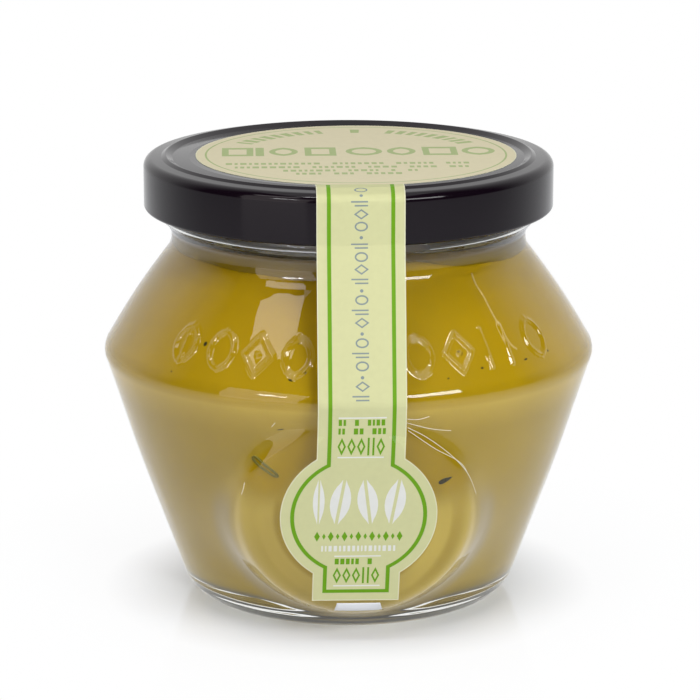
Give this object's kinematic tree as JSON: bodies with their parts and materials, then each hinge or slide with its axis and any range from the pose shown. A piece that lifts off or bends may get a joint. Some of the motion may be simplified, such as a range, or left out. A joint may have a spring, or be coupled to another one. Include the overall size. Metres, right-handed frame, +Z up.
{
  "type": "jar of pistachio spread",
  "caption": "Clear glass jar with a ridge, full of yellow-green nut spread, with a twist-off metal lid and a paper label over the lid and down the front.",
  "frame": {"origin": "centre of the jar's foot, on the surface it stands on", "axes": "+Z up along the jar's axis, -Y towards the front with the label and the medallion, +X to the right seen from the front"},
  "size_m": [0.0878, 0.0883, 0.0805],
  "materials": {
    "clear_glass": "clear, smooth, with a raised pattern on the shoulder",
    "pistachio_spread": "thick oily spread, yellow-green with dark flecks",
    "black_tinplate": "black lacquer, semi-gloss",
    "label_paper": "pale yellow-green paper with a green border line"
  },
  "bodies": {
    "root": {"jar_glass": "clear_glass", "spread": "pistachio_spread", "lid": "black_tinplate", "label": "label_paper"}
  },
  "joints": []
}
